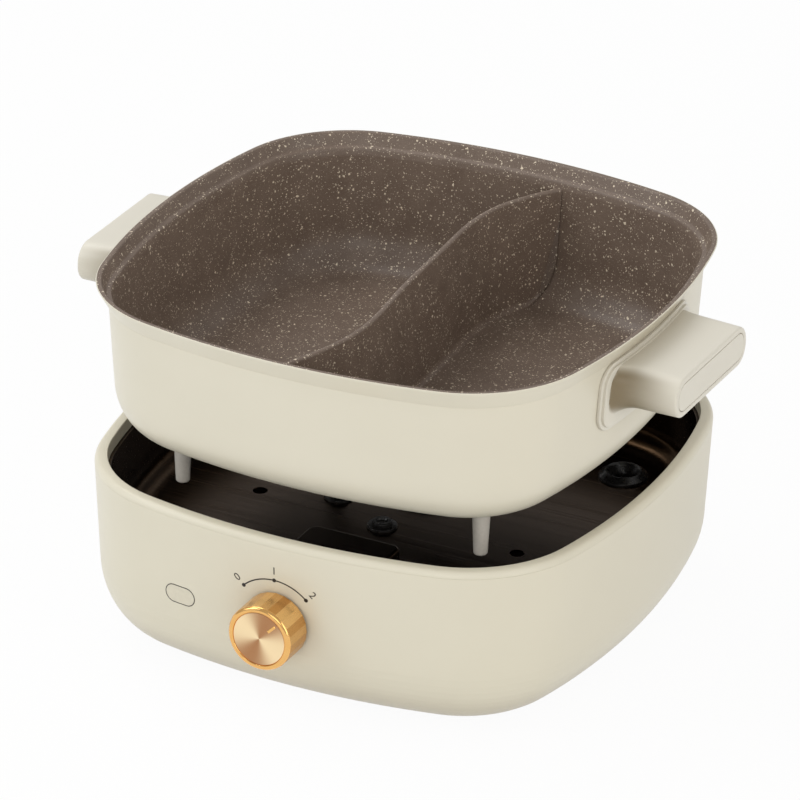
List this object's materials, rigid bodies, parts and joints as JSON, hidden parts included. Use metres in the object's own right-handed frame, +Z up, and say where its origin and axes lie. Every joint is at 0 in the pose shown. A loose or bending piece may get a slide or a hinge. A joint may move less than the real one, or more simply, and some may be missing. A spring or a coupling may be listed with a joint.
{
  "type": "electric hot pot",
  "caption": "Rounded-square divided cooking pot with side handles, lifted above the electric base it plugs into, with a faceted control knob.",
  "frame": {"origin": "centre of the object's footprint on the surface it stands on", "axes": "+X along the line through both handles, -Y towards the front with the knob, +Z up"},
  "size_m": [0.3894, 0.3498, 0.224],
  "materials": {
    "pot_lacquer": "satin cream lacquer on cast aluminium",
    "pot_coating": "dark granite-look non-stick coating with pale flecks",
    "base_shell": "satin cream moulding",
    "bottom_plastic": "plain cream moulding",
    "pan_steel": "dark brushed stainless",
    "heater_plate": "plain pressed sheet",
    "black_plastic": "black heat-proof moulding",
    "switch_plastic": "dark moulding",
    "gland_plastic": "cream moulding",
    "handle_plastic": "satin cream moulding",
    "peg_plastic": "grey-cream moulding",
    "plain_steel": "plain",
    "contact_brass": "polished",
    "knob_metal": "spun copper-gold anodised",
    "knob_mark": "dark inlay",
    "foot_rubber": "matt",
    "window_plastic": "cream, lets light through"
  },
  "bodies": {
    "base": {"base_casing": "base_shell", "rim_ring": "base_shell", "bottom_cover": "bottom_plastic", "floor_pan": "pan_steel", "base_coupler": "black_plastic", "pan_buttons": "black_plastic", "peg_socket_front_left": "black_plastic", "peg_socket_front_right": "black_plastic", "peg_socket_rear_left": "black_plastic", "peg_socket_rear_right": "black_plastic", "rotary_switch": "switch_plastic", "terminal_block": "switch_plastic", "power_lamp": "switch_plastic", "cord_gland": "gland_plastic", "gland_nut": "gland_plastic", "cover_screws": "plain_steel", "switch_nut": "plain_steel", "coupler_contacts": "contact_brass", "terminal_screws": "contact_brass", "foot_front_left": "foot_rubber", "foot_front_right": "foot_rubber", "foot_rear_left": "foot_rubber", "foot_rear_right": "foot_rubber", "lamp_window": "window_plastic"},
    "pot": {"pot_body": "pot_lacquer", "pot_divider": "pot_coating", "heater_ring": "plain_steel", "heater_cover": "heater_plate", "pot_plug": "black_plastic", "peg_front_left": "peg_plastic", "peg_front_right": "peg_plastic", "peg_rear_left": "peg_plastic", "peg_rear_right": "peg_plastic", "handle_plate_left": "handle_plastic", "handle_plate_right": "handle_plastic", "handle_grip_left": "handle_plastic", "handle_grip_right": "handle_plastic", "handle_end_cap_left": "handle_plastic", "handle_end_cap_right": "handle_plastic", "handle_studs_left": "plain_steel", "handle_studs_right": "plain_steel"},
    "knob": {"control_knob": "knob_metal", "knob_face": "knob_metal", "knob_pointer": "knob_mark", "switch_shaft": "plain_steel"}
  },
  "joints": [
    {"name": "pot_lift", "type": "slide", "parent": "base", "child": "pot", "axis": [0, 0, 1], "range_m": [-0.055, 0.03]},
    {"name": "knob_turn", "type": "hinge", "parent": "base", "child": "knob", "pos_m": [0, -0.17489, 0.0586], "axis": [0, -1, 0], "range_deg": [0, 90]}
  ]
}
